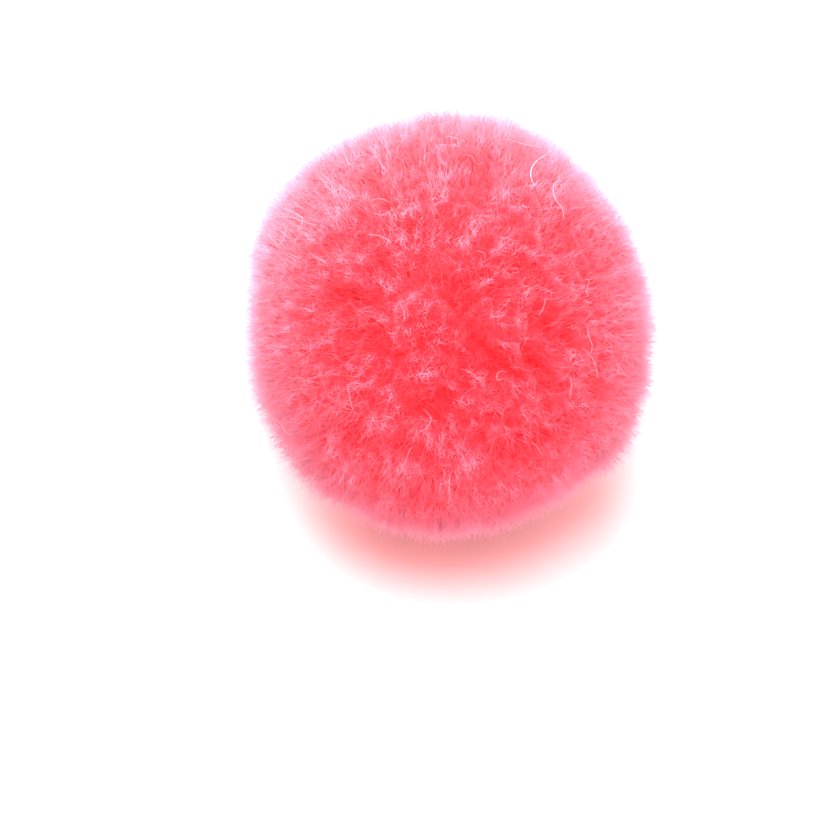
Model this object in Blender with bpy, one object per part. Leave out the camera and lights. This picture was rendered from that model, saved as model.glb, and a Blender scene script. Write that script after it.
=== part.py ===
"""Yarn pom pom: a bundle of cut yarn, tied at its middle and trimmed to a ball of about 20 mm.

Metres, +Z up. The ball stands on the plane z = 0, with the Z axis through the middle of its box.
The whole pompom is one solid, because the tie draws every yarn end into one backing: that is the
node yarn_pile. Its locks, the cut yarn ends, stand apart from each other but for their roots.
"""

import math
import random

import bmesh
import bpy
from mathutils import Vector, noise

# The ball
BALL_RADIUS = 0.00972  # the trimmed pile, before its swellings
BACKING_RADIUS = 0.0060  # where the tie has drawn the yarn into one body
FOOT_RADIUS = 0.0028  # the patch of pile that the ball stands on

# The trimming isn't even: there are broad swellings, and two flatter sides.
SWELLINGS = (
    {"towards": (-0.20, 0.76, 0.61), "rise": 0.00070, "spread_deg": 50},
    {"towards": (-0.65, 0.59, 0.48), "rise": 0.00020, "spread_deg": 12},
    {"towards": (-0.89, 0.36, 0.28), "rise": 0.00080, "spread_deg": 16},
    {"towards": (-0.71, -0.55, -0.44), "rise": 0.00040, "spread_deg": 26},
    {"towards": (-0.03, -0.78, -0.63), "rise": 0.00035, "spread_deg": 24},
    {"towards": (0.87, -0.39, -0.31), "rise": 0.00030, "spread_deg": 20},
    {"towards": (0.20, 0.90, -0.38), "rise": 0.00050, "spread_deg": 30},
    {"towards": (0.30, -0.40, 0.86), "rise": 0.00020, "spread_deg": 22},
    {"towards": (0.97, 0.20, 0.16), "rise": -0.00020, "spread_deg": 25},
    {"towards": (-0.99, 0.10, 0.08), "rise": -0.00025, "spread_deg": 18},
)

# The pile also sinks in hollows of one to three locks. Their places are millimetres to the right of
# the ball's middle and above it, seen from the front and SEEN_FROM_DEG above the floor. The back has
# the same hollows, straight through the ball from these.
HOLLOWS = (
    (1.5, 7.5), (-3.8, 6.6), (-7.4, 5.0), (5.9, 4.8), (-2.6, 2.6), (-5.0, 1.2), (0.1, 1.0),
    (1.8, -1.3), (4.5, 0.2), (4.3, -2.2), (-0.8, -3.7), (-3.4, -1.0), (-4.5, -5.5), (3.7, -5.9),
    (2.0, -6.3), (5.7, -5.2), (7.1, -3.0), (3.5, 2.8), (-0.6, -8.3),
)  # fmt: skip
HOLLOW_DEPTH = 0.00070
HOLLOW_SPREAD_DEG = 7
SEEN_FROM_DEG = 51

# The locks
GRID_POINTS = 51  # scattered points, each the middle of five to seven locks
GRID_SCATTER = 0.16  # how far a point strays, on a unit ball
CORNER_SCATTER = 0.035  # how far a corner of the relaxed grid strays, on a unit ball
ON_THE_BALL = 0.999  # from the middle of a unit ball, as near its surface as counts as on it
RELAXING_STEPS = 10
ROOT_WIDTH = 0.80  # shares of the room that each lock has between its neighbours
SHOULDER_WIDTH = 0.80
CROWN_WIDTH = 0.42
FOOT_WIDTH = 0.70
CROWN_HEIGHT = 0.00075  # from the shoulder of a lock to its tip
FOOT_HEIGHT = 0.00040
LENGTH_SPREAD = 0.00022  # how far a tip stands above or below the trimmed ball
LEAN = 0.0005  # how far a tip is combed sideways, at most
LEAN_PATCHES = 1.7  # how many patches lean their own way, in the radius of the ball
SHOULDER_LEAN = 0.8  # share of it that the shoulder has
FLOOR_CLEARANCE = 0.00010  # under locks beside the foot

# The finish
YARN_COLOUR = (1.0, 0.16, 0.20, 1.0)
YARN_ROUGHNESS = 0.9

CENTRE_HEIGHT = math.sqrt(BALL_RADIUS**2 - FOOT_RADIUS**2)
GOLDEN_ANGLE = math.pi * (3 - math.sqrt(5))


def clear_scene():
    for obj in list(bpy.data.objects):
        bpy.data.objects.remove(obj, do_unlink=True)


def trimmed_reach(direction):
    """How far the trimmed pile reaches from the ball's centre that way."""
    reach = BALL_RADIUS
    for swelling in SWELLINGS:
        angle = direction.angle(Vector(swelling["towards"]))
        width = math.radians(swelling["spread_deg"])
        reach += swelling["rise"] * math.exp(-((angle / width) ** 2))
    return reach


def hollow_directions():
    """Where the hollows lie, from the ball's centre: those of the front, then those of the back."""
    tilt = math.radians(SEEN_FROM_DEG)
    right = Vector((1, 0, 0))
    up = Vector((0, math.sin(tilt), math.cos(tilt)))
    directions = []
    for across_mm, above_mm in HOLLOWS:
        aside = (right * across_mm + up * above_mm) * 0.001 / BALL_RADIUS
        towards_viewer = right.cross(up) * math.sqrt(1 - aside.length_squared)
        directions.append(aside + towards_viewer)
    return directions + [-direction for direction in directions]


def hollow_depth(direction, hollows):
    """How much shorter the pile is cut that way than the ball round it."""
    nearest = min(direction.angle(hollow) for hollow in hollows)
    return HOLLOW_DEPTH * math.exp(-((nearest / math.radians(HOLLOW_SPREAD_DEG)) ** 2))


def strayed(point, distance, rng):
    """The point of a unit ball moved at random, by up to that distance along each axis."""
    stray = Vector([rng.uniform(-distance, distance) for _ in range(3)])
    return (point + stray).normalized()


def scattered_points(rng):
    """Points spread evenly over a unit ball along a spiral, each a little off its place."""
    points = []
    for i in range(GRID_POINTS):
        height = 1 - (2 * i + 1) / GRID_POINTS
        ring = math.sqrt(1 - height**2)
        turn = i * GOLDEN_ANGLE
        point = Vector((ring * math.cos(turn), ring * math.sin(turn), height))
        points.append(strayed(point, GRID_SCATTER, rng))
    return points


def split_in_kites(grid):
    """Splits each triangle into three four-sided faces, round its middle."""
    bmesh.ops.bisect_edges(grid, edges=grid.edges[:], cuts=1)
    middles = bmesh.ops.poke(grid, faces=grid.faces[:])["verts"]
    spokes = [edge for middle in middles for edge in middle.link_edges]
    # The grid's own points are on the ball, and the middles of its edges and faces are inside it.
    spare = [spoke for spoke in spokes if max(end.co.length for end in spoke.verts) > ON_THE_BALL]
    bmesh.ops.dissolve_edges(grid, edges=spare)


def yarn_grid(rng):
    """A unit ball of uneven four-sided faces, one for each lock."""
    grid = bmesh.new()
    for point in scattered_points(rng):
        grid.verts.new(point)
    bmesh.ops.convex_hull(grid, input=grid.verts)
    split_in_kites(grid)
    for _ in range(RELAXING_STEPS):
        bmesh.ops.smooth_vert(
            grid, verts=grid.verts, factor=0.5, use_axis_x=True, use_axis_y=True, use_axis_z=True
        )
        for vert in grid.verts:
            vert.co.normalize()
    for vert in grid.verts:
        vert.co = strayed(vert.co, CORNER_SCATTER, rng)
    turn_a_face_down(grid)
    bmesh.ops.recalc_face_normals(grid, faces=grid.faces)
    return grid


def turn_a_face_down(grid):
    """Turns the grid so that one face lies square on the floor, under the middle of the ball."""
    down = Vector((0, 0, -1))
    lowest = min(grid.faces, key=lambda face: face.calc_center_median().z)
    turn = lowest.calc_center_median().rotation_difference(down)
    bmesh.ops.rotate(grid, verts=grid.verts, cent=(0, 0, 0), matrix=turn.to_matrix())


def combed(middle):
    """The sideways lean of the tips round this place: neighbours lean together, as combed pile does."""
    swirl = noise.noise_vector(middle * LEAN_PATCHES)
    return (swirl - middle * swirl.dot(middle)) * LEAN


def ring(corners, middle, width, reach, lean=Vector()):
    """The corners of one cross-section of a lock, at that width and that far from the ball's centre."""
    points = []
    for corner in corners:
        way = (middle + (corner - middle) * width).normalized()
        points.append(way * reach + lean)
    return points


def on_the_floor(points, rise=0.0):
    """The points moved along their own rays from the ball's centre, to the floor or a little above it."""
    return [point * ((rise - CENTRE_HEIGHT) / point.z) for point in points]


def free_lock(corners, middle, reach):
    """Shoulder and crown of a lock that ends in the air, short enough to clear the floor."""
    lean = combed(middle)
    lowest = -CENTRE_HEIGHT
    while lowest < FLOOR_CLEARANCE - CENTRE_HEIGHT:
        shoulder_lean = lean * SHOULDER_LEAN
        shoulder = ring(corners, middle, SHOULDER_WIDTH, reach - CROWN_HEIGHT, shoulder_lean)
        crown = ring(corners, middle, CROWN_WIDTH, reach, lean)
        lowest = min(point.z for point in shoulder + crown)
        reach -= FLOOR_CLEARANCE / 2
    return shoulder, crown


def foot_lock(corners, middle):
    """Shoulder and crown of a shorter lock that ends level on the floor."""
    shoulder = on_the_floor(ring(corners, middle, SHOULDER_WIDTH, 1), FOOT_HEIGHT)
    crown = on_the_floor(ring(corners, middle, FOOT_WIDTH, 1))
    return shoulder, crown


def lock_sections(corners, middle, hollows, rng):
    """Shoulder and crown of the lock that grows here: those under the ball stand on the floor."""
    reach = trimmed_reach(middle) + rng.uniform(-LENGTH_SPREAD, LENGTH_SPREAD)
    if middle.z * reach < -CENTRE_HEIGHT:
        return foot_lock(corners, middle)
    return free_lock(corners, middle, reach - hollow_depth(middle, hollows))


def grow_lock(pile, face, hollows, rng):
    """Draws one face of the backing out into a lock, section by section."""
    corners = [vert.co.normalized() for vert in face.verts]
    middle = sum(corners, Vector()).normalized()
    shoulder, crown = lock_sections(corners, middle, hollows, rng)
    bmesh.ops.inset_individual(pile, faces=[face])
    for vert, place in zip(face.verts, ring(corners, middle, ROOT_WIDTH, BACKING_RADIUS)):
        vert.co = place
    for section in (shoulder, crown):
        face = bmesh.ops.extrude_discrete_faces(pile, faces=[face])["faces"][0]
        for vert, place in zip(face.verts, section):
            vert.co = place


def stand_on_axis(pile):
    """Moves the pompom so that it stands on z = 0 with the middle of its box over the origin."""
    middle = Vector((0, 0, CENTRE_HEIGHT))
    for axis in (0, 1):
        places = [vert.co[axis] for vert in pile.verts]
        middle[axis] = -(min(places) + max(places)) / 2
    bmesh.ops.translate(pile, verts=pile.verts, vec=middle)


def yarn_material():
    material = bpy.data.materials.new("coral_yarn")
    material.use_nodes = True
    shader = material.node_tree.nodes["Principled BSDF"]
    shader.inputs["Base Color"].default_value = YARN_COLOUR
    shader.inputs["Roughness"].default_value = YARN_ROUGHNESS
    shader.inputs["Metallic"].default_value = 0.0
    material.diffuse_color = YARN_COLOUR
    return material


def yarn_pile():
    """The whole bundle: the backing, and every lock drawn out of it."""
    rng = random.Random(7)
    pile = yarn_grid(rng)
    bmesh.ops.scale(pile, verts=pile.verts, vec=(BACKING_RADIUS,) * 3)
    hollows = hollow_directions()
    for face in list(pile.faces):
        grow_lock(pile, face, hollows, rng)
    stand_on_axis(pile)
    mesh = bpy.data.meshes.new("yarn_pile")
    pile.to_mesh(mesh)
    pile.free()
    mesh.shade_smooth()
    mesh.set_sharp_from_angle(angle=math.radians(40))
    mesh.materials.append(yarn_material())
    obj = bpy.data.objects.new("yarn_pile", mesh)
    bpy.context.scene.collection.objects.link(obj)
    return obj


clear_scene()
yarn_pile()
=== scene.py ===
# A small yarn pom pom: soft, matted wool fibres dressed over the solid of its packed pile.
import math

import bmesh
import bpy
import numpy as np
from mathutils import Matrix, Vector, noise


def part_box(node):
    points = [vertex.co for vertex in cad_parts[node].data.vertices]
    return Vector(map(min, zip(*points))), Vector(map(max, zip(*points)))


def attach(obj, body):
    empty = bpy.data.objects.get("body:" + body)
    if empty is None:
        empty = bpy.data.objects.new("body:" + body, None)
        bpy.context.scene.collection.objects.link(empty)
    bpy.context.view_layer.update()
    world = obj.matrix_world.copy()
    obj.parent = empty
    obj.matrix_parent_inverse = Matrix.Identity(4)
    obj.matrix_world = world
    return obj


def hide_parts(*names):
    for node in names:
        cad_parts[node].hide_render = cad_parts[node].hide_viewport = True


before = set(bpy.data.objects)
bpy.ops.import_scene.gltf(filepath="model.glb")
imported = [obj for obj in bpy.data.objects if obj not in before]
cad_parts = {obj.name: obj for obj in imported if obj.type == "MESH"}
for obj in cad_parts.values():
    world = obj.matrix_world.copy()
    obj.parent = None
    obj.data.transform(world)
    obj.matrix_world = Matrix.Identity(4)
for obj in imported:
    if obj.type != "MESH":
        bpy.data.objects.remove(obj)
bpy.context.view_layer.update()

mm = 0.001
print("frame loaded")


def fadeIn(value, low, high):
    share = np.clip((value - low) / (high - low), 0, 1)
    return share * share * (3 - 2 * share)


def unit(vectors):
    return vectors / np.linalg.norm(vectors, axis=1, keepdims=True)


def addNode(tree, kind, inputs=None, **settings):
    # inputs holds {socket name or number: a value, or the output socket of another node}
    made = tree.nodes.new(kind)
    for name, value in settings.items():
        setattr(made, name, value)
    for name, value in (inputs or {}).items():
        if isinstance(value, bpy.types.NodeSocket):
            tree.links.new(value, made.inputs[name])
        else:
            made.inputs[name].default_value = value
    return made


def linkScene(thing):
    bpy.context.scene.collection.objects.link(thing)
    return thing


pileShape = {
    "middleHeight": 0.478,  # of the ball's whole height
    "tuftsInLock": 4,
    "tuftSpread": 1.05,  # of the lock's flat tip
    "tuftScatter": 0.16 * mm,
    "reachBlur": 0.09,  # radians
    "radius": 9.5 * mm,  # for the sizes of patches
    "tipFacing": 0.8,  # how squarely a lock's tip looks outward, at least
    "tipReach": 0.8,  # how far out a lock's tip is, of the greatest reach, at least
    "footLayer": 0.02 * mm,  # how near the floor a lock's foot is
    "footFacing": 0.9,
    "seed": 11,
}


def readLockTips():
    # Each lock of the solid ends in a flat tip of two triangles. This finds the corners of each tip.
    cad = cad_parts["yarn_pile"].data
    cad.calc_loop_triangles()
    corners = np.array([[cad.vertices[i].co for i in t.vertices] for t in cad.loop_triangles])
    middles = corners.mean(axis=1)
    normals = unit(np.cross(corners[:, 1] - corners[:, 0], corners[:, 2] - corners[:, 0]))
    outward = unit(middles - pileMiddle)
    reach = np.linalg.norm(middles - pileMiddle, axis=1)
    facing = np.einsum("ij,ij->i", normals, outward)
    isTip = (facing > pileShape["tipFacing"]) & (reach > pileShape["tipReach"] * reach.max())
    onFloor = (middles[:, 2] < pileShape["footLayer"]) & (normals[:, 2] < -pileShape["footFacing"])
    byEdge, tips = {}, []
    for triangle in corners[isTip | onFloor]:
        keys = [tuple(np.round(point / mm, 4)) for point in triangle]
        edges = [frozenset((keys[i], keys[i - 1])) for i in range(3)]
        tip = next((byEdge[edge] for edge in edges if edge in byEdge), None)
        if tip is None:
            tip = set()
            tips.append(tip)
        tip.update(keys)
        for edge in edges:
            byEdge[edge] = tip
    return [np.array(sorted(tip)) * mm for tip in tips]


def placeTufts(tips):
    # Each lock parts into a few tufts round its tip.
    dice = np.random.default_rng(pileShape["seed"])
    tufts = []
    for tip in tips:
        middle = tip.mean(axis=0)
        for i in range(pileShape["tuftsInLock"]):
            place = middle + (tip[i % len(tip)] - middle) * pileShape["tuftSpread"]
            tufts.append(place + dice.normal(0, pileShape["tuftScatter"], 3))
    return np.array(tufts)


pileMiddle = np.array([0, 0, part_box("yarn_pile")[1].z * pileShape["middleHeight"]])
lockTips = readLockTips()
lockMiddles = np.array([tip.mean(axis=0) for tip in lockTips])
tuftPlaces = placeTufts(lockTips)
print("locks:", len(lockTips), "tufts:", len(tuftPlaces))


front = {
    # Places on the front are millimetres to the right of the ball's middle and above it, as seen
    # from so many degrees above the floor, with the view turned a little.
    "seenFrom": 51.2,
    "turn": 3.3,
    "radius": 9.9 * mm,
    "furrows": (
        # both ends of a furrow between tufts, and how deep it is and how red its painted shade is
        (0.9, 7.7, 2.2, 7.9, 0.8), (-4.3, 7.0, -3.3, 6.2, 0.7), (-7.6, 5.2, -6.9, 5.9, 0.6),
        (5.2, 4.6, 5.4, 4.2, 0.7), (6.5, 5.3, 6.9, 4.4, 0.5), (-3.5, 2.9, -2.0, 2.0, 0.7),
        (-5.8, 1.6, -4.2, 1.1, 0.9), (-0.2, 1.5, 0.6, 0.5, 0.8), (1.2, -0.7, 2.4, -1.9, 0.9),
        (4.4, 0.5, 4.8, -0.3, 1.0), (3.8, -1.5, 4.8, -2.9, 1.0), (-1.5, -4.0, -0.1, -3.4, 0.9),
        (-3.7, -0.7, -2.9, -1.6, 0.8), (-5.0, -5.2, -4.0, -6.0, 0.6), (2.6, -6.4, 4.9, -5.5, 0.9),
        (5.6, -5.3, 6.0, -5.0, 0.7), (6.8, -2.9, 7.4, -3.3, 0.7), (3.0, 2.9, 4.0, 2.3, 0.4),
        (-1.1, -8.3, 0.0, -8.5, 0.6), (6.3, 3.4, 7.0, 2.8, 0.5), (-6.8, 3.2, -5.6, 4.2, 0.5),
    ),
    "furrowWidth": 0.55 * mm,
    "crests": (
        # the middle of a tuft's crest, and how strong the painted highlight that makes it pale is
        (1.3, -3.9, 1.0), (2.0, -3.0, 0.8), (2.8, -2.3, 1.0), (0.3, -6.4, 1.0), (-2.3, -6.4, 0.7),
        (6.1, -1.0, 0.8), (-5.7, -0.6, 0.8), (-4.5, -2.5, 0.5), (-1.4, -1.8, 0.5), (0.1, 5.7, 0.5),
        (4.2, 4.9, 0.7), (-5.0, 5.2, 0.6), (3.1, -7.1, 0.9), (-2.9, -4.4, 0.4), (2.3, 4.4, 0.4),
    ),
    "crestWidth": 0.75 * mm,
    "fuller": (
        # the middle of a place where the pile is fuller, how much, and how wide it is
        (-8.3, 4.9, 0.32, 2.4), (-4.0, 8.6, 0.22, 3.2), (2.0, 9.3, 0.22, 3.0), (7.0, 6.2, 0.30, 2.8),
        (9.4, 1.6, 0.12, 2.4), (-9.4, 1.0, 0.16, 2.4), (7.2, -6.2, -0.22, 2.0),
    ),
}


def frontWay(right, above, radius=front["radius"]):
    # From the ball's middle to a place on the front, as a direction. Places past the rim lie on it.
    tilt = math.radians(front["seenFrom"])
    turn = math.radians(front["turn"])
    level = np.array([1, 0, 0])
    rising = np.array([0, math.sin(tilt), math.cos(tilt)])
    across = level * math.cos(turn) + rising * math.sin(turn)
    up = rising * math.cos(turn) - level * math.sin(turn)
    aside = (across * right + up * above) * mm / radius
    length = np.linalg.norm(aside)
    if length > 1:
        return aside / length
    return aside + np.cross(across, up) * math.sqrt(1 - length * length)


def frontFurrows(directions):
    # How much of a furrow lies that way, from 0 to 1.
    found = np.zeros(len(directions))
    for right, above, endRight, endAbove, strength in front["furrows"]:
        start = frontWay(right, above)
        run = frontWay(endRight, endAbove) - start
        along = np.clip((directions - start) @ run / (run @ run), 0, 1)
        away = np.linalg.norm(directions - start - along[:, None] * run, axis=1) * front["radius"]
        found = np.maximum(found, strength * np.exp(-((away / front["furrowWidth"]) ** 2)))
    return found


def frontCrests(directions):
    # how much painted highlight of a listed crest lies that way
    found = np.zeros(len(directions))
    for right, above, strength in front["crests"]:
        away = np.linalg.norm(directions - frontWay(right, above), axis=1) * front["radius"]
        found = np.maximum(found, strength * np.exp(-((away / front["crestWidth"]) ** 2)))
    return found


def frontFullness(directions):
    added = np.zeros(len(directions))
    for right, above, height, width in front["fuller"]:
        away = np.linalg.norm(directions - frontWay(right, above), axis=1) * front["radius"] / mm
        added += height * mm * np.exp(-((away / width) ** 2))
    return added


packedYarn = {
    "divisions": 7,
    "tuftFeather": 0.50 * mm,  # how wide the slope is from a tuft down to its edge
    "lockFeather": 0.90 * mm,
    "hollowSize": 1.7 * mm,  # of the irregular hollows in the trimmed pile
    "crestSize": 1.0 * mm,
    "hollowDrop": 0.40 * mm,  # how much lower the cut ends are in a hollow
    "depth": 0.60 * mm,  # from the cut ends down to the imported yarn
    "hollowDepth": 0.30 * mm,  # more of it in a hollow
    "patchRange": (-0.05, 0.75),  # of the noise, from where a hollow begins to where it is full
    "crestRange": (0.10, 0.75),
    "patchNoise": (0.6, 2.0, 3),  # how rough, how much finer each octave is, and how many there are
    "patchShift": (3, 1, 8),
    "crestShift": (40, 7, 2),
    # how much each of these hollows the pile and adds painted shade that makes it redder
    "tuftHollow": 0.14,
    "lockHollow": 0.22,
    "patchHollow": 0.42,
    "furrowHollow": 0.80,
    # how strong the painted highlight is on the scattered crests and on the listed ones
    "scatteredCrest": 0.7,
    "frontCrest": 0.6,
    "crestLoss": 0.7,  # of a crest in a hollow
    "floorGap": 0.25 * mm,
    "floorDepth": 0.6,  # of the pile on the floor, as a share of its depth
    # how far down a direction points where the pressed pile under the ball begins, and where it is full
    "under": (0.20, 0.65),
    "underDrop": 0.22 * mm,
    "underDepth": 0.70,  # its depth, as a share of that elsewhere
    "splay": 0.50,
    "toneSeed": 5,
    # its finish: places up the ramp of the yarn's colours, with painted shade in the hollows and painted
    # highlight on the crests
    "evenColour": 0.18,
    "hollowPaintedShade": -0.34,
    "crestPaintedHighlight": 0.20,
    "strandColour": 0.45,
    "strandSize": 0.16 * mm,
    "strandDetail": 3.0,
    "strandDistortion": 1.5,
    "bumpStrength": 0.6,
    "bumpHeight": 0.08 * mm,
    "roughness": 0.9,
    "specular": 0.2,
}
directionsAtOnce = 4096


def nearestTwo(directions, places):
    # Which place is nearest, and how far the two nearest are, as turns round the ball's middle.
    wayTo = unit(places - pileMiddle)
    nearest = np.empty(len(directions), int)
    first = np.empty(len(directions))
    second = np.empty(len(directions))
    for i in range(0, len(directions), directionsAtOnce):
        part = slice(i, i + directionsAtOnce)
        turn = np.arccos(np.clip(directions[part] @ wayTo.T, -1, 1))
        order = np.argpartition(turn, 1, axis=1)[:, :2]
        pair = np.take_along_axis(turn, order, 1)
        swap = pair[:, 0] > pair[:, 1]
        pair[swap] = pair[swap][:, ::-1]
        order[swap] = order[swap][:, ::-1]
        nearest[part] = order[:, 0]
        first[part], second[part] = pair[:, 0], pair[:, 1]
    return nearest, first, second


def trimmedReach(directions):
    # How far the cut ends reach, smoothed from the locks' own tips.
    away = lockMiddles - pileMiddle
    reach = np.linalg.norm(away, axis=1)
    wayTo = away / reach[:, None]
    smooth = np.empty(len(directions))
    for i in range(0, len(directions), directionsAtOnce):
        part = slice(i, i + directionsAtOnce)
        turn = np.arccos(np.clip(directions[part] @ wayTo.T, -1, 1))
        weight = np.exp(-((turn / pileShape["reachBlur"]) ** 2)) + 1e-9
        smooth[part] = (weight @ reach) / weight.sum(axis=1)
    return smooth + frontFullness(directions)


def patches(directions, size, shift):
    # Smooth noise over the ball, from about -1 to 1.
    scale = pileShape["radius"] / size
    places = (Vector(way) * scale + Vector(shift) for way in directions)
    return np.array([noise.fractal(place, *packedYarn["patchNoise"]) for place in places])


def makePackedYarn():
    form = bmesh.new()
    bmesh.ops.create_icosphere(form, subdivisions=packedYarn["divisions"], radius=1)
    mesh = bpy.data.meshes.new("packed_yarn")
    form.to_mesh(mesh)
    form.free()
    directions = np.empty(len(mesh.vertices) * 3)
    mesh.vertices.foreach_get("co", directions)
    directions = unit(directions.reshape(-1, 3))
    reach = trimmedReach(directions)
    radius = reach.mean()
    tuft, tuftNear, tuftNext = nearestTwo(directions, tuftPlaces)
    _, lockNear, lockNext = nearestTwo(directions, lockMiddles)
    tuftEdge = 1 - fadeIn((tuftNext - tuftNear) * radius, 0, packedYarn["tuftFeather"])
    lockEdge = 1 - fadeIn((lockNext - lockNear) * radius, 0, packedYarn["lockFeather"])
    patch = patches(directions, packedYarn["hollowSize"], packedYarn["patchShift"])
    patch = fadeIn(patch, *packedYarn["patchRange"])
    crest = patches(directions, packedYarn["crestSize"], packedYarn["crestShift"])
    crest = packedYarn["scatteredCrest"] * fadeIn(crest, *packedYarn["crestRange"])
    crest = np.clip(crest + packedYarn["frontCrest"] * frontCrests(directions), 0, 1)
    hollow = packedYarn["tuftHollow"] * tuftEdge + packedYarn["lockHollow"] * lockEdge
    hollow += packedYarn["patchHollow"] * patch
    hollow = np.clip(hollow + packedYarn["furrowHollow"] * frontFurrows(directions), 0, 1)
    under = fadeIn(-directions[:, 2], *packedYarn["under"])
    tipReach = reach - packedYarn["hollowDrop"] * hollow - packedYarn["underDrop"] * under
    depth = packedYarn["depth"] + packedYarn["hollowDepth"] * hollow
    depth *= 1 - (1 - packedYarn["underDepth"]) * under
    places = pileMiddle + directions * (tipReach - depth)[:, None]
    lean = (directions - unit(tuftPlaces - pileMiddle)[tuft]) * radius * packedYarn["splay"]
    below = places[:, 2] < packedYarn["floorGap"]
    places[:, 2] = np.maximum(places[:, 2], packedYarn["floorGap"])
    mesh.vertices.foreach_set("co", places.ravel())
    dice = np.random.default_rng(packedYarn["toneSeed"])
    values = {
        "pileDepth": np.where(below, depth * packedYarn["floorDepth"], depth),
        "trimmedReach": reach,
        "hollow": hollow,
        "crest": crest * (1 - packedYarn["crestLoss"] * hollow),
        "tuftTone": dice.normal(0, 1, len(tuftPlaces))[tuft],
    }
    for name, numbers in values.items():
        layer = mesh.attributes.new(name, "FLOAT", "POINT")
        layer.data.foreach_set("value", numbers.astype(np.float32))
    layer = mesh.attributes.new("tuftLean", "FLOAT_VECTOR", "POINT")
    layer.data.foreach_set("vector", lean.astype(np.float32).ravel())
    mesh.shade_smooth()
    mesh.update()
    return linkScene(bpy.data.objects.new("packed_yarn", mesh))


packed = makePackedYarn()
print("packed yarn made")


fibreForms = {
    # rings of each fibre, as (share of its length, share of its thickness)
    "needle": ((0, 1),),
    "bowed": ((0.45, 1),),
    "crimped": ((0.30, 1), (0.68, 0.8)),
    "curled": ((0.22, 1), (0.50, 0.95), (0.78, 0.75)),
    "wavy": ((0.14, 1), (0.32, 1), (0.50, 0.95), (0.68, 0.9), (0.85, 0.75)),
}


def makeFibreForm(name, rings):
    # A closed three-sided thread along Z, from 0 to 1. It starts in a point unless its first ring is at 0.
    form = bmesh.new()
    along = form.verts.layers.float.new("along")

    def addVert(x, y, share):
        vert = form.verts.new((x, y, share))
        vert[along] = share
        return vert

    sections = []
    for share, width in rings:
        turns = [side * math.tau / 3 for side in range(3)]
        sections.append([
            addVert(width / 2 * math.cos(turn), width / 2 * math.sin(turn), share) for turn in turns
        ])
    if rings[0][0] > 0:
        root = addVert(0, 0, 0)
        for side in range(3):
            form.faces.new((root, sections[0][(side + 1) % 3], sections[0][side]))
    else:
        form.faces.new(sections[0][::-1])
    tip = addVert(0, 0, 1)
    for low, high in zip(sections, sections[1:]):
        for side in range(3):
            after = (side + 1) % 3
            form.faces.new((low[side], low[after], high[after], high[side]))
    for side in range(3):
        form.faces.new((sections[-1][side], sections[-1][(side + 1) % 3], tip))
    bmesh.ops.triangulate(form, faces=form.faces)
    mesh = bpy.data.meshes.new("fibre_form_" + name)
    form.to_mesh(mesh)
    form.free()
    mesh.shade_smooth()
    return linkScene(bpy.data.objects.new("fibre_form_" + name, mesh))


growth = {
    # what all coats share
    "noiseMiddle": 0.5,  # what the noises lie around
    "puffFoot": 0.44,  # of the puffs' noise, where the cut ends are at their own height
    "tuftTone": 0.05,
    "waveSpread": (0.6, 1.4),
    "thicknessSpread": (0.7, 1.3),
    "ownShading": 0.12,  # of each fibre's own roundness in its shading
}


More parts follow.
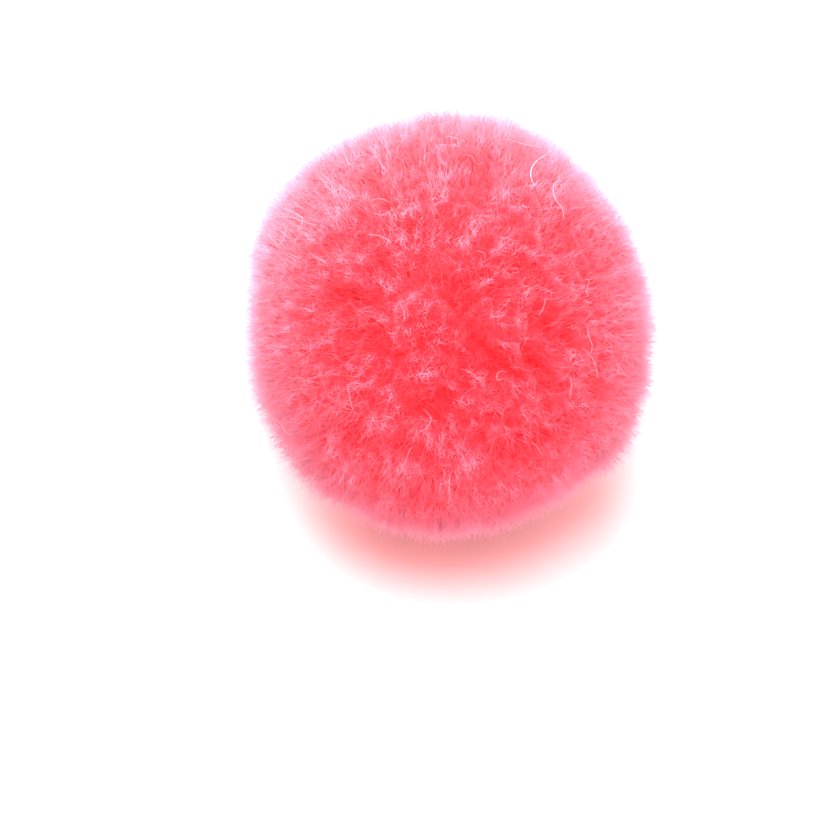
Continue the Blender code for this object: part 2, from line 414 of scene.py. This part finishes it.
def growingTree():
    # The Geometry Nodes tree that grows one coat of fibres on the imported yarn.
    tree = bpy.data.node_groups.new("growFibres", "GeometryNodeTree")
    face = tree.interface
    face.new_socket("Geometry", in_out="INPUT", socket_type="NodeSocketGeometry")
    kinds = {"Fibre form": "Object", "Middle": "Vector", "Seed": "Int", "Material": "Material"}
    names = (
        "Fibre form", "Middle", "Density", "Thickness", "Root low", "Root high", "Tip low", "Tip high",
        "Splay", "Lean", "Lean size", "Own lean", "Bow", "Crimp", "Waves", "Floor gap",
        "Puff size", "Puff rise", "Puff lean", "Puff tone", "Crest tone", "Hollow tone",
        "Colour depth", "Tone", "Tone spread", "Seed", "Material",
    )
    for name in names:
        kind = kinds.get(name, "Float")
        face.new_socket(name, in_out="INPUT", socket_type="NodeSocket" + kind)
    face.new_socket("Geometry", in_out="OUTPUT", socket_type="NodeSocketGeometry")
    given = tree.nodes.new("NodeGroupInput").outputs

    def add(kind, inputs=None, **settings):
        return addNode(tree, kind, inputs, **settings)

    def sums(operation, a, b=None, clamp=False):
        inputs = {i: v for i, v in enumerate((a, b)) if v is not None}
        return add("ShaderNodeMath", inputs, operation=operation, use_clamp=clamp).outputs[0]

    def vectors(operation, a, b=None, scale=None):
        inputs = {i: v for i, v in enumerate((a, b)) if v is not None}
        if scale is not None:
            inputs["Scale"] = scale
        made = add("ShaderNodeVectorMath", inputs, operation=operation)
        return made.outputs["Value" if operation in ("LENGTH", "DOT_PRODUCT") else "Vector"]

    def scaled(vector, scale):
        return vectors("SCALE", vector, scale=scale)

    def named(name, kind="FLOAT"):
        made = add("GeometryNodeInputNamedAttribute", {"Name": name}, data_type=kind)
        return made.outputs["Attribute"]

    def store(geometry, name, value, kind="FLOAT", domain="POINT"):
        inputs = {"Geometry": geometry, "Name": name, "Value": value}
        made = add("GeometryNodeStoreNamedAttribute", inputs, data_type=kind, domain=domain)
        return made.outputs["Geometry"]

    def chance(low, high, salt):
        seed = sums("ADD", given["Seed"], salt)
        made = add("FunctionNodeRandomValue", {2: low, 3: high, "Seed": seed}, data_type="FLOAT")
        return made.outputs[1]

    def chanceVector(salt):
        seed = sums("ADD", given["Seed"], salt)
        inputs = {0: (-1, -1, -1), 1: (1, 1, 1), "Seed": seed}
        return add("FunctionNodeRandomValue", inputs, data_type="FLOAT_VECTOR").outputs[0]

    scatter = add("GeometryNodeDistributePointsOnFaces", {
        "Mesh": given["Geometry"], "Density": given["Density"], "Seed": given["Seed"],
    })
    place = add("GeometryNodeInputPosition").outputs[0]
    outward = vectors("NORMALIZE", vectors("SUBTRACT", place, given["Middle"]))

    def sideways(vector):
        # the part of a vector that lies along the ball's surface
        return vectors("SUBTRACT", vector, scaled(outward, vectors("DOT_PRODUCT", vector, outward)))

    def puffsAt(way):
        # Small puffs all over the ball, in which the cut ends are higher and paler with painted light.
        return add("ShaderNodeTexNoise", {
            "Vector": scaled(way, front["radius"]), "Scale": sums("DIVIDE", 1.0, given["Puff size"]),
            "Detail": 1.0,
        }).outputs

    rootShare = chance(given["Root low"], given["Root high"], 1)
    tipShare = chance(given["Tip low"], given["Tip high"], 2)
    rise = sums("MULTIPLY", named("pileDepth"), sums("SUBTRACT", tipShare, rootShare))
    combing = add("ShaderNodeTexNoise", {
        "Vector": place, "Scale": sums("DIVIDE", 1.0, given["Lean size"]), "Detail": 1.0,
    })
    combed = vectors("SUBTRACT", combing.outputs["Color"], [growth["noiseMiddle"]] * 3)
    aside = vectors("ADD", scaled(named("tuftLean", "FLOAT_VECTOR"), given["Splay"]),
                    scaled(combed, given["Lean"]))
    gathered = vectors("SUBTRACT", puffsAt(outward)["Color"], [growth["noiseMiddle"]] * 3)
    aside = vectors("ADD", aside, scaled(gathered, given["Puff lean"]))
    aside = vectors("ADD", aside, scaled(chanceVector(3), given["Own lean"]))
    reachOut = vectors("ADD", scaled(outward, rise), sideways(aside))
    tipWay = vectors("NORMALIZE", vectors("ADD", vectors("SUBTRACT", place, given["Middle"]), reachOut))
    puffRise = sums("SUBTRACT", puffsAt(tipWay)["Fac"], growth["puffFoot"])
    puffRise = sums("MULTIPLY", puffRise, given["Puff rise"])
    reachOut = vectors("ADD", reachOut, scaled(outward, puffRise))
    tone = sums("ADD", given["Tone"], sums("MULTIPLY", chance(-1.0, 1.0, 4), given["Tone spread"]))
    tone = sums("ADD", tone, sums("MULTIPLY", named("tuftTone"), growth["tuftTone"]))
    points = scatter.outputs["Points"]
    points = store(points, "reachOut", reachOut, "FLOAT_VECTOR")
    points = store(points, "tone", tone)
    points = store(points, "bendWay", chanceVector(5), "FLOAT_VECTOR")
    points = store(points, "curlWay", chanceVector(6), "FLOAT_VECTOR")
    points = store(points, "waves", sums("MULTIPLY", given["Waves"], chance(*growth["waveSpread"], 7)))
    lifted = scaled(outward, sums("MULTIPLY", named("pileDepth"), rootShare))
    points = add("GeometryNodeSetPosition", {"Geometry": points, "Offset": lifted}).outputs[0]

    spin = add("ShaderNodeCombineXYZ", {"Z": chance(0.0, math.tau, 8)}).outputs[0]
    turned = add("FunctionNodeAlignRotationToVector", {
        "Rotation": add("FunctionNodeEulerToRotation", {0: spin}).outputs[0],
        "Vector": named("reachOut", "FLOAT_VECTOR"),
    }, axis="Z")
    thickness = sums("MULTIPLY", given["Thickness"], chance(*growth["thicknessSpread"], 9))
    size = add("ShaderNodeCombineXYZ", {
        "X": thickness, "Y": thickness, "Z": vectors("LENGTH", named("reachOut", "FLOAT_VECTOR")),
    }).outputs[0]
    form = add("GeometryNodeObjectInfo", {"Object": given["Fibre form"]}).outputs["Geometry"]
    copies = add("GeometryNodeInstanceOnPoints", {
        "Points": points, "Instance": form, "Rotation": turned.outputs[0], "Scale": size,
    }).outputs[0]
    real = add("GeometryNodeRealizeInstances", {"Geometry": copies}).outputs[0]

    globe = add("GeometryNodeSetPosition", {"Geometry": given["Geometry"], "Position": outward}).outputs[0]

    def underneath(name):
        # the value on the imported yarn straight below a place
        return add("GeometryNodeSampleNearestSurface", {
            "Mesh": globe, "Value": named(name), "Sample Position": outward,
        }).outputs["Value"]

    # Each fibre bows to a side and waves about its own line.
    along = named("along")
    length = vectors("LENGTH", named("reachOut", "FLOAT_VECTOR"))
    phase = sums("MULTIPLY", sums("MULTIPLY", along, named("waves")), math.tau)
    bow = sums("MULTIPLY", sums("MULTIPLY", sums("MULTIPLY", along, along), length), given["Bow"])
    swing = sums("MULTIPLY", sums("SINE", phase), given["Crimp"])
    swirl = sums("MULTIPLY", sums("SUBTRACT", 1.0, sums("COSINE", phase)), given["Crimp"])
    bent = scaled(named("bendWay", "FLOAT_VECTOR"), sums("ADD", bow, swing))
    moved = vectors("ADD", vectors("ADD", place, bent), scaled(named("curlWay", "FLOAT_VECTOR"), swirl))
    apart = add("ShaderNodeSeparateXYZ", {0: moved}).outputs
    cleared = add("ShaderNodeCombineXYZ", {
        "X": apart[0], "Y": apart[1], "Z": sums("MAXIMUM", apart[2], given["Floor gap"]),
    }).outputs[0]
    real = add("GeometryNodeSetPosition", {"Geometry": real, "Position": cleared}).outputs[0]

    # The map runs from red to pale fibres along u, which carries random tone with painted light and shade,
    # and from the imported yarn out to the cut ends along v, which the finish turns into painted shade
    # deep in the pile and painted light at the cut ends.
    fromMiddle = vectors("LENGTH", vectors("SUBTRACT", place, given["Middle"]))
    below = sums("DIVIDE", sums("SUBTRACT", named("trimmedReach"), fromMiddle), given["Colour depth"])
    outwardness = sums("SUBTRACT", 1.0, below, clamp=True)
    # painted light and shade: fibres in a puff are taken paler, those between puffs redder
    puffPaintedLight = sums("SUBTRACT", puffsAt(outward)["Fac"], growth["noiseMiddle"])
    puffPaintedLight = sums("MULTIPLY", puffPaintedLight, given["Puff tone"])
    tone = sums("ADD", named("tone"), puffPaintedLight)
    # painted highlight: fibres over a crest are taken towards the pale end of the ramp
    tone = sums("ADD", tone, sums("MULTIPLY", underneath("crest"), given["Crest tone"]))
    # painted shade: fibres over a hollow are taken towards the red end of the ramp
    redder = sums("MULTIPLY", underneath("hollow"), given["Hollow tone"])
    tone = sums("SUBTRACT", tone, redder, clamp=True)
    chart = add("ShaderNodeCombineXYZ", {"X": tone, "Y": outwardness}).outputs[0]
    real = store(real, "OFBake", chart, "FLOAT2", "CORNER")
    real = add("GeometryNodeSetMaterial", {"Geometry": real, "Material": given["Material"]}).outputs[0]
    tree.links.new(real, tree.nodes.new("NodeGroupOutput").inputs[0])
    return tree


spareAttributes = (
    "pileDepth", "trimmedReach", "hollow", "crest", "tuftTone", "tuftLean", "along",
    "reachOut", "tone", "bendWay", "curlWay", "waves",
)


def softenShading(mesh):
    # Turns the shading of thin fibres towards that of the whole pile, which scatters light as one body.
    places = np.empty(len(mesh.vertices) * 3)
    mesh.vertices.foreach_get("co", places)
    own = np.empty(len(mesh.vertices) * 3)
    mesh.vertices.foreach_get("normal", own)
    outward = unit(places.reshape(-1, 3) - pileMiddle)
    share = growth["ownShading"]
    normals = unit(outward * (1 - share) + own.reshape(-1, 3) * share)
    mesh.normals_split_custom_set_from_vertices(normals.tolist())


def growFibres(name, tree, values):
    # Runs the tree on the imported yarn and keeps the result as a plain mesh.
    source = linkScene(bpy.data.objects.new(name + "_source", packed.data))
    modifier = source.modifiers.new("grow", "NODES")
    modifier.node_group = tree
    inputs = [item for item in tree.interface.items_tree if item.in_out == "INPUT"]
    identifiers = {item.name: item.identifier for item in inputs}
    for key, value in values.items():
        modifier[identifiers[key]] = value
    graph = bpy.context.evaluated_depsgraph_get()
    mesh = bpy.data.meshes.new_from_object(source.evaluated_get(graph))
    bpy.data.objects.remove(source)
    for spare in spareAttributes:
        if spare in mesh.attributes:
            mesh.attributes.remove(mesh.attributes[spare])
    mesh.name = name
    softenShading(mesh)
    mesh.calc_loop_triangles()
    print(name, "triangles:", len(mesh.loop_triangles))
    return linkScene(bpy.data.objects.new(name, mesh))


yarnColours = {
    # stops from the deepest red to the palest, as (place, linear colour): the yarn's own tones, stretched
    # by painted shade towards the red end and by painted light towards the pale end
    "stops": (
        (0.00, (0.82, 0.004, 0.009)),
        (0.35, (0.86, 0.009, 0.018)),
        (0.60, (0.89, 0.030, 0.050)),
        (0.80, (0.93, 0.135, 0.200)),
        (0.92, (0.96, 0.270, 0.380)),
        (1.00, (1.00, 0.410, 0.580)),
    ),
    "roughness": 0.7,
    "specular": 0.3,
    "through": 0.20,  # of the light that passes through a fibre of the pile
    "fuzzThrough": 0.0,
    "sheen": 1.0,
    "deepSheen": 0.75,
    "sheenRoughness": 0.55,
    "sheenTint": (1.0, 0.70, 0.93),
    # how far up the stops a fibre's outer end takes it, as painted light there and painted shade deeper in
    # the pile, how far the palest tone takes it, and how far all are taken down
    "depthPaintedShade": 0.52,
    "toneShare": 0.66,
    "darker": 0.135,
}


def yarnRamp(tree, place):
    ramp = addNode(tree, "ShaderNodeValToRGB", {0: place})
    stops = ramp.color_ramp.elements
    while len(stops) < len(yarnColours["stops"]):
        stops.new(0.5)
    for stop, (share, colour) in zip(stops, yarnColours["stops"]):
        stop.position = share
        stop.color = (*colour, 1)
    return ramp.outputs[0]


def addSheen(shader, weight):
    shader.inputs["Sheen Weight"].default_value = weight
    shader.inputs["Sheen Roughness"].default_value = yarnColours["sheenRoughness"]
    shader.inputs["Sheen Tint"].default_value = (*yarnColours["sheenTint"], 1)


def fibreFinish(name, through, sheen):
    material = bpy.data.materials.new(name)
    material.use_nodes = True
    tree = material.node_tree
    shader = tree.nodes["Principled BSDF"]
    chart = addNode(tree, "ShaderNodeUVMap", uv_map="OFBake")
    apart = addNode(tree, "ShaderNodeSeparateXYZ", {0: chart.outputs[0]}).outputs
    # painted shade and light: the deeper parts of a fibre are redder and its outer end paler
    place = -yarnColours["darker"]
    for value, name in ((apart[0], "toneShare"), (apart[1], "depthPaintedShade")):
        inputs = {0: value, 1: yarnColours[name], 2: place}
        place = addNode(tree, "ShaderNodeMath", inputs, operation="MULTIPLY_ADD").outputs[0]
    colour = yarnRamp(tree, place)
    tree.links.new(colour, shader.inputs["Base Color"])
    shader.inputs["Roughness"].default_value = yarnColours["roughness"]
    shader.inputs["Specular IOR Level"].default_value = yarnColours["specular"]
    addSheen(shader, sheen)
    backlit = addNode(tree, "ShaderNodeBsdfTranslucent", {"Color": colour})
    blend = addNode(tree, "ShaderNodeMixShader", {
        0: through, 1: shader.outputs[0], 2: backlit.outputs[0],
    })
    tree.links.new(blend.outputs[0], tree.nodes["Material Output"].inputs["Surface"])
    return material


def packedFinish():
    # matted fibres seen between the longer ones: redder with painted shade in the hollows, paler with
    # painted highlight on the crests, streaked finely
    material = bpy.data.materials.new("packed_yarn")
    material.use_nodes = True
    tree = material.node_tree
    shader = tree.nodes["Principled BSDF"]
    where = addNode(tree, "ShaderNodeTexCoord").outputs["Object"]
    hollow = addNode(tree, "ShaderNodeAttribute", attribute_name="hollow").outputs["Fac"]
    crest = addNode(tree, "ShaderNodeAttribute", attribute_name="crest").outputs["Fac"]
    strands = addNode(tree, "ShaderNodeTexNoise", {
        "Vector": where, "Scale": 1 / packedYarn["strandSize"],
        "Detail": packedYarn["strandDetail"], "Distortion": packedYarn["strandDistortion"],
    }).outputs["Fac"]
    place = packedYarn["evenColour"]
    for value, name in ((hollow, "hollowPaintedShade"), (crest, "crestPaintedHighlight"), (strands, "strandColour")):
        inputs = {0: value, 1: packedYarn[name], 2: place}
        place = addNode(tree, "ShaderNodeMath", inputs, operation="MULTIPLY_ADD").outputs[0]
    tree.links.new(yarnRamp(tree, place), shader.inputs["Base Color"])
    bump = addNode(tree, "ShaderNodeBump", {
        "Strength": packedYarn["bumpStrength"], "Distance": packedYarn["bumpHeight"], "Height": strands,
    })
    tree.links.new(bump.outputs[0], shader.inputs["Normal"])
    shader.inputs["Roughness"].default_value = packedYarn["roughness"]
    shader.inputs["Specular IOR Level"].default_value = packedYarn["specular"]
    addSheen(shader, yarnColours["deepSheen"])
    return material


deepMaterial = fibreFinish("coral_deep_fibre", yarnColours["through"], yarnColours["deepSheen"])
fibreMaterial = fibreFinish("coral_fibre", yarnColours["through"], yarnColours["sheen"])
fuzzMaterial = fibreFinish("coral_fuzz", yarnColours["fuzzThrough"], yarnColours["sheen"])
packed.data.materials.append(packedFinish())
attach(packed, "root")
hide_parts("yarn_pile")

everyCoat = {
    "Middle": tuple(pileMiddle),
    "Lean size": 3.4 * mm,
    "Floor gap": 0.03 * mm,
    "Puff size": 0.50 * mm,
    "Puff rise": 1.2 * mm,
    "Puff lean": 1.2 * mm,
    "Puff tone": 3.60,
    "Crest tone": 0.40,
    "Hollow tone": 0.44,
    "Colour depth": 1.00 * mm,
    "Material": fibreMaterial,
}
coats = {
    "pile_deep_fibres": {
        "Fibre form": "needle", "Density": 22.0e6, "Thickness": 0.050 * mm,
        "Root low": -0.15, "Root high": 0.10, "Tip low": 0.40, "Tip high": 0.85,
        "Splay": 0.6, "Lean": 0.6 * mm, "Own lean": 0.35 * mm, "Bow": 0.0, "Crimp": 0.0, "Waves": 1.0,
        "Tone": 0.45, "Tone spread": 0.10, "Seed": 10, "Material": deepMaterial,
    },
    "pile_bowed_fibres": {
        "Fibre form": "bowed", "Density": 21.0e6, "Thickness": 0.030 * mm,
        "Root low": -0.10, "Root high": 0.40, "Tip low": 0.60, "Tip high": 1.00,
        "Splay": 0.7, "Lean": 0.8 * mm, "Own lean": 0.40 * mm, "Bow": 0.35, "Crimp": 0.03 * mm,
        "Waves": 0.5, "Tone": 0.48, "Tone spread": 0.06, "Seed": 20,
    },
    "pile_crimped_fibres": {
        "Fibre form": "crimped", "Density": 12.5e6, "Thickness": 0.023 * mm,
        "Root low": 0.05, "Root high": 0.50, "Tip low": 0.70, "Tip high": 1.15,
        "Splay": 0.7, "Lean": 0.8 * mm, "Own lean": 0.45 * mm, "Bow": 0.25, "Crimp": 0.06 * mm,
        "Waves": 0.8, "Tone": 0.50, "Tone spread": 0.07, "Seed": 30,
    },
    "pile_matted_fibres": {
        "Fibre form": "curled", "Density": 8.6e6, "Thickness": 0.021 * mm,
        "Root low": 0.40, "Root high": 0.80, "Tip low": 0.60, "Tip high": 1.05,
        "Splay": 0.6, "Lean": 0.9 * mm, "Own lean": 0.60 * mm, "Bow": 0.2, "Crimp": 0.08 * mm,
        "Waves": 0.9, "Tone": 0.50, "Tone spread": 0.08, "Seed": 40,
    },
    "pile_fine_fuzz": {
        "Fibre form": "needle", "Density": 38.0e6, "Thickness": 0.018 * mm,
        "Root low": 0.50, "Root high": 1.00, "Tip low": 1.55, "Tip high": 2.15,
        "Splay": 0.35, "Lean": 0.40 * mm, "Own lean": 0.52 * mm, "Bow": 0.0, "Crimp": 0.0, "Waves": 1.0,
        "Puff rise": 1.7 * mm, "Puff tone": 1.5, "Crest tone": 0.15,
        # its high tone is painted light: it pales the outer fuzz that forms the rim
        "Tone": 0.72, "Tone spread": 0.08, "Seed": 60, "Material": fuzzMaterial,
    },
    "pile_wavy_fibres": {
        "Fibre form": "wavy", "Density": 1.26e6, "Thickness": 0.014 * mm,
        "Root low": 0.50, "Root high": 0.90, "Tip low": 0.90, "Tip high": 1.45,
        "Splay": 0.6, "Lean": 0.8 * mm, "Own lean": 0.80 * mm, "Bow": 0.2, "Crimp": 0.13 * mm,
        "Waves": 1.1, "Tone": 0.54, "Tone spread": 0.12, "Seed": 50,
    },
}
tree = growingTree()
forms = {name: makeFibreForm(name, rings) for name, rings in fibreForms.items()}
for name, values in coats.items():
    values = {**everyCoat, **values, "Fibre form": forms[values["Fibre form"]]}
    coat = growFibres(name, tree, values)
    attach(coat, "root")
    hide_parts("yarn_pile")
for form in forms.values():
    bpy.data.objects.remove(form)
print("fibres grown")


strayHairs = {
    "front": (
        # how thick a hair is in millimetres, then the places on the front that it runs through
        (0.042, ((4.55, 8.05), (4.0, 7.75), (3.75, 7.25), (3.75, 6.85), (3.95, 6.5))),
        (0.024, ((5.15, 7.0), (5.05, 6.7), (4.85, 6.65), (4.8, 6.25), (4.95, 5.75), (5.3, 5.45),
                 (5.3, 4.95))),
        (0.022, ((2.55, 8.65), (3.05, 8.45), (3.75, 8.35), (4.35, 8.45))),
        (0.020, ((-8.55, 4.95), (-7.75, 5.2), (-7.05, 4.85), (-6.35, 4.65))),
        (0.020, ((-8.25, 5.5), (-7.35, 5.35), (-6.9, 4.85), (-7.25, 4.45))),
        (0.022, ((-5.85, 6.15), (-5.25, 6.45), (-4.75, 6.25), (-4.55, 5.85))),
        (0.019, ((-3.85, 5.75), (-3.35, 6.0), (-2.95, 5.7))),
        (0.020, ((-2.85, 5.45), (-2.65, 5.15), (-2.55, 4.85))),
        (0.024, ((-3.85, 4.15), (-3.25, 4.15), (-2.8, 3.75))),
        (0.020, ((1.15, 3.35), (1.7, 3.3), (1.55, 2.95))),
        (0.020, ((4.4, 1.15), (4.35, 0.6), (4.05, 0.35))),
        (0.020, ((0.45, -2.15), (1.2, -2.35), (1.45, -2.95))),
        (0.022, ((5.6, -2.55), (5.7, -3.15), (5.55, -3.55))),
        (0.019, ((6.4, -0.15), (6.45, -0.7), (6.7, -1.0), (6.55, -1.45))),
        (0.019, ((6.15, -1.15), (6.9, -1.65), (6.9, -2.55))),
        (0.019, ((-2.25, -6.95), (-2.1, -6.15), (-1.85, -5.85))),
        (0.020, ((-0.15, -8.75), (0.0, -7.95), (-0.15, -7.25), (0.05, -6.95))),
        (0.017, ((-4.85, -2.85), (-4.75, -3.95), (-4.5, -4.25))),
        (0.019, ((-0.25, 8.85), (0.15, 8.95), (0.65, 8.45))),
        (0.022, ((-8.45, -6.65), (-7.95, -6.5), (-7.35, -6.55), (-6.75, -6.35))),
        (0.020, ((-7.55, -7.3), (-6.95, -7.55), (-6.45, -7.25))),
        (0.019, ((9.35, 0.35), (9.75, 0.5), (10.15, 0.45))),
        (0.019, ((9.35, -2.05), (9.65, -1.95), (10.05, -1.85))),
        (0.020, ((9.05, -4.15), (9.25, -4.55), (8.85, -4.85))),
        (0.020, ((8.45, -5.35), (8.75, -5.85), (8.55, -6.25), (8.05, -6.45))),
    ),
    "lift": 0.25 * mm,  # over the cut ends
    "looseHairs": 60,
    "looseStep": (0.14 * mm, 0.34 * mm),
    "looseThickness": (0.010 * mm, 0.018 * mm),
    "looseLift": (-0.15 * mm, 0.30 * mm),
    "loosePlaces": 6,
    "looseTurn": 0.5,  # radians at each place, at most, at the start
    "looseTurnChange": 0.2,
    "endThickness": 0.5,  # of a hair's own
    "roughness": 0.5,
    "seed": 3,
    "colour": (1.0, 0.40, 0.46),
}


def frontPlace(right, above):
    # A place on the front at the height of a stray hair, also where that is past the rim.
    radius = front["radius"]
    for _ in range(3):
        way = frontWay(right, above, radius)
        radius = trimmedReach(way[None])[0] + strayHairs["lift"]
    return pileMiddle + way * max(radius, math.hypot(right, above) * mm)


def looseHair(dice):
    # A hair that wanders over the pile, always turning a little the same way.
    way = unit(dice.normal(size=(1, 3)))[0]
    heading = unit(np.cross(way, dice.normal(size=3))[None])[0]
    step = dice.uniform(*strayHairs["looseStep"]) / front["radius"]
    turn = dice.uniform(-strayHairs["looseTurn"], strayHairs["looseTurn"])
    lift = dice.uniform(*strayHairs["looseLift"], strayHairs["loosePlaces"])
    places = []
    for rise in lift:
        reach = trimmedReach(way[None])[0] + rise
        places.append(pileMiddle + way * reach)
        heading = heading * math.cos(turn) + np.cross(way, heading) * math.sin(turn)
        turn += dice.normal(0, strayHairs["looseTurnChange"])
        way = unit((way + heading * step)[None])[0]
        heading = unit((heading - way * (heading @ way))[None])[0]
    return places


def addHair(curve, places, thickness):
    spline = curve.splines.new("NURBS")
    spline.points.add(len(places) - 1)
    spline.order_u = 3
    spline.use_endpoint_u = True
    spline.resolution_u = 3
    for i, (point, place) in enumerate(zip(spline.points, places)):
        place = np.maximum(place, (-np.inf, -np.inf, everyCoat["Floor gap"] + thickness))
        point.co = (*place, 1)
        point.radius = thickness / 2 * (strayHairs["endThickness"] if i in (0, len(places) - 1) else 1)


def makeStrayHairs():
    curve = bpy.data.curves.new("stray_hairs", "CURVE")
    curve.dimensions = "3D"
    curve.bevel_depth = 1
    curve.bevel_resolution = 0
    curve.use_fill_caps = True
    for thickness, route in strayHairs["front"]:
        addHair(curve, [frontPlace(*place) for place in route], thickness * mm)
    dice = np.random.default_rng(strayHairs["seed"])
    for _ in range(strayHairs["looseHairs"]):
        addHair(curve, looseHair(dice), dice.uniform(*strayHairs["looseThickness"]))
    drawn = linkScene(bpy.data.objects.new("stray_hairs", curve))
    graph = bpy.context.evaluated_depsgraph_get()
    mesh = bpy.data.meshes.new_from_object(drawn.evaluated_get(graph))
    bpy.data.objects.remove(drawn)
    mesh.name = "pile_stray_hairs"
    mesh.calc_loop_triangles()
    print("pile_stray_hairs triangles:", len(mesh.loop_triangles))
    return linkScene(bpy.data.objects.new("pile_stray_hairs", mesh))


def hairFinish():
    material = bpy.data.materials.new("pale_hair")
    material.use_nodes = True
    shader = material.node_tree.nodes["Principled BSDF"]
    shader.inputs["Base Color"].default_value = (*strayHairs["colour"], 1)
    shader.inputs["Roughness"].default_value = strayHairs["roughness"]
    addSheen(shader, yarnColours["sheen"])
    return material


hairs = makeStrayHairs()
hairs.data.materials.clear()
hairs.data.materials.append(hairFinish())
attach(hairs, "root")
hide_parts("yarn_pile")


studio = {
    "floorSide": 1.2,
    # pale, with a pink tint that is painted reflection: it stands in for red light thrown from the ball
    # into its shadow
    "floorColourAndRedBounce": (0.85, 0.58, 0.58),
    "floorRoughness": 0.9,
    "floorSpecular": 0.1,
    "horizonStrength": 1.12,
    "zenithStrength": 1.55,
    "elevation": 51.23,  # degrees above the floor
    "distance": 285.24 * mm,
    "aim": (-1.20 * mm, 1.54 * mm, 0),  # the floor point at the middle of the picture
    "roll": 3.34,
    "lens": 245.6,
    "nearest": 0.01,  # what the camera shows
    "keyPlace": (-0.015, -0.03, 0.30),
    "keyPower": 1.45,
    "keySide": 0.22,
    "fillPlace": (0.07, -0.29, 0.09),
    "fillPower": 0.55,
    "fillSide": 0.20,
    "fillColour": (1.0, 0.14, 0.18),
    "rimPlace": (-0.11, 0.27, 0.16),
    "rimPower": 1.30,
    "rimSide": 0.20,
    "diffuseBounces": 8,
}


def makeFloor():
    form = bmesh.new()
    bmesh.ops.create_grid(form, x_segments=1, y_segments=1, size=studio["floorSide"] / 2)
    mesh = bpy.data.meshes.new("studio_floor")
    form.to_mesh(mesh)
    form.free()
    material = bpy.data.materials.new("pale_floor")
    material.use_nodes = True
    shader = material.node_tree.nodes["Principled BSDF"]
    shader.inputs["Base Color"].default_value = (*studio["floorColourAndRedBounce"], 1)
    shader.inputs["Roughness"].default_value = studio["floorRoughness"]
    shader.inputs["Specular IOR Level"].default_value = studio["floorSpecular"]
    mesh.materials.append(material)
    linkScene(bpy.data.objects.new("studio_floor", mesh))


def makeLight():
    sky = bpy.data.worlds.new("studio_sky")
    sky.use_nodes = True
    background = sky.node_tree.nodes["Background"]
    background.inputs["Color"].default_value = (1, 1, 1, 1)
    way = addNode(sky.node_tree, "ShaderNodeTexCoord").outputs["Generated"]
    height = addNode(sky.node_tree, "ShaderNodeSeparateXYZ", {0: way}).outputs["Z"]
    strength = addNode(sky.node_tree, "ShaderNodeMapRange", {
        "Value": height, "To Min": studio["horizonStrength"], "To Max": studio["zenithStrength"],
    })
    sky.node_tree.links.new(strength.outputs[0], background.inputs["Strength"])
    bpy.context.scene.world = sky
    for name in ("key", "fill", "rim"):
        lamp = bpy.data.lights.new(name + "_light", "AREA")
        lamp.shape = "DISK"
        lamp.size = studio[name + "Side"]
        lamp.energy = studio[name + "Power"]
        lamp.color = studio.get(name + "Colour", (1, 1, 1))
        light = linkScene(bpy.data.objects.new(name + "_light", lamp))
        light.location = studio[name + "Place"]
        way = Vector(pileMiddle) - light.location
        light.rotation_euler = way.to_track_quat("-Z", "Y").to_euler()


def makeCamera():
    rise = math.radians(studio["elevation"])
    back = Vector((0, -math.cos(rise), math.sin(rise)))
    lens = bpy.data.cameras.new("camera")
    lens.lens = studio["lens"]
    lens.clip_start = studio["nearest"]
    camera = linkScene(bpy.data.objects.new("camera", lens))
    turn = back.to_track_quat("Z", "Y").to_matrix().to_4x4()
    roll = Matrix.Rotation(math.radians(studio["roll"]), 4, "Z")
    place = Vector(studio["aim"]) + back * studio["distance"]
    camera.matrix_world = Matrix.Translation(place) @ turn @ roll
    bpy.context.scene.camera = camera


makeFloor()
makeLight()
makeCamera()
bpy.context.scene.view_settings.view_transform = "Standard"
bpy.context.scene.cycles.diffuse_bounces = studio["diffuseBounces"]
print("studio set")
